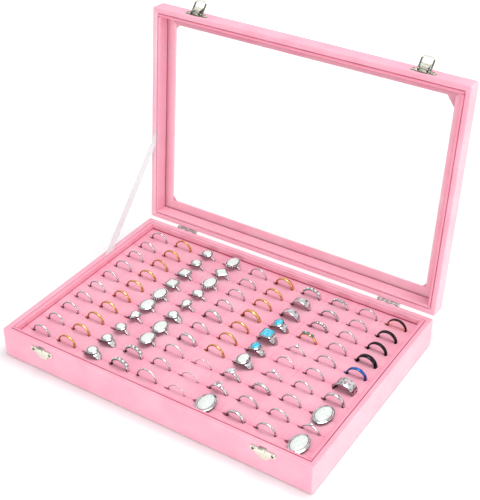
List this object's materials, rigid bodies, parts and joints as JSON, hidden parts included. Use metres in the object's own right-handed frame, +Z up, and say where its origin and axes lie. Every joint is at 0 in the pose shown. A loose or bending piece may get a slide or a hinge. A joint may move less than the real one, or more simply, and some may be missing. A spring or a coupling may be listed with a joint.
{
  "type": "ring display box",
  "caption": "Shallow velvet-covered display box with slotted ring pads, a hinged glass-topped lid, toggle latches and a ribbon stay.",
  "frame": {"origin": "centre of the base's underside", "axes": "+X to the right along the box, -Y out of the latched front, +Z up"},
  "size_m": [0.35, 0.2864, 0.2892],
  "materials": {
    "velvet_board": "pink velvet over board",
    "velvet": "pink velvet over foam",
    "lining": "pink velvet over card",
    "board": "covered board",
    "backing": "felt",
    "satin": "satin ribbon",
    "pane": "clear",
    "nickel": "pale plated steel",
    "steel": "plated",
    "silver": "polished silver",
    "gold": "polished gold",
    "black": "polished black",
    "blue": "polished blue",
    "white_stone": "polished white stone",
    "turquoise": "polished turquoise",
    "crystal": "clear cut stone",
    "green_stone": "cut green stone"
  },
  "bodies": {
    "base": {"base_walls": "velvet_board", "floor_board": "board", "underside_sheet": "backing", "base_liner": "lining", "pad_strip_1": "velvet", "pad_strip_2": "velvet", "pad_strip_3": "velvet", "pad_strip_4": "velvet", "pad_strip_5": "velvet", "pad_strip_6": "velvet", "pad_strip_7": "velvet", "pad_strip_8": "velvet", "pad_strip_9": "velvet", "pad_strip_10": "velvet", "catch_left": "nickel", "catch_right": "nickel", "catch_screws": "steel", "hinge_base_leaves": "steel", "hinge_base_screws": "steel", "hinge_pins": "steel", "lid_stay_ribbon": "satin", "silver_rings": "silver", "gold_rings": "gold", "black_rings": "black", "blue_ring": "blue", "stone_ring_settings": "silver", "white_stones": "white_stone", "turquoise_stones": "turquoise", "clear_stones": "crystal", "green_stones": "green_stone"},
    "lid": {"lid_frame": "velvet_board", "lid_liner": "lining", "window_pane": "pane", "hinge_lid_leaves": "steel", "hinge_lid_screws": "steel", "latch_plate_left": "nickel", "latch_plate_right": "nickel", "latch_screws": "steel", "lever_pins": "steel"},
    "left_lever": {"lever_left": "nickel", "loop_pin_left": "steel"},
    "right_lever": {"lever_right": "nickel", "loop_pin_right": "steel"},
    "left_loop": {"loop_left": "nickel"},
    "right_loop": {"loop_right": "nickel"}
  },
  "joints": [
    {"name": "lid_hinge", "type": "hinge", "parent": "base", "child": "lid", "pos_m": [0, 0.1236, 0.0327], "axis": [1, 0, 0], "range_deg": [0, 94.5], "deforming": ["lid_stay_ribbon"]},
    {"name": "left_lever_hinge", "type": "hinge", "parent": "lid", "child": "left_lever", "pos_m": [-0.125, 0.14728, 0.28001], "axis": [1, 0, 0], "range_deg": [0, 100]},
    {"name": "left_loop_hinge", "type": "hinge", "parent": "left_lever", "child": "left_loop", "pos_m": [-0.125, 0.15122, 0.27919], "axis": [-1, 0, 0], "range_deg": [-127.88, 0]},
    {"name": "right_lever_hinge", "type": "hinge", "parent": "lid", "child": "right_lever", "pos_m": [0.125, 0.14728, 0.28001], "axis": [1, 0, 0], "range_deg": [0, 100]},
    {"name": "right_loop_hinge", "type": "hinge", "parent": "right_lever", "child": "right_loop", "pos_m": [0.125, 0.15122, 0.27919], "axis": [-1, 0, 0], "range_deg": [-127.88, 0]}
  ]
}
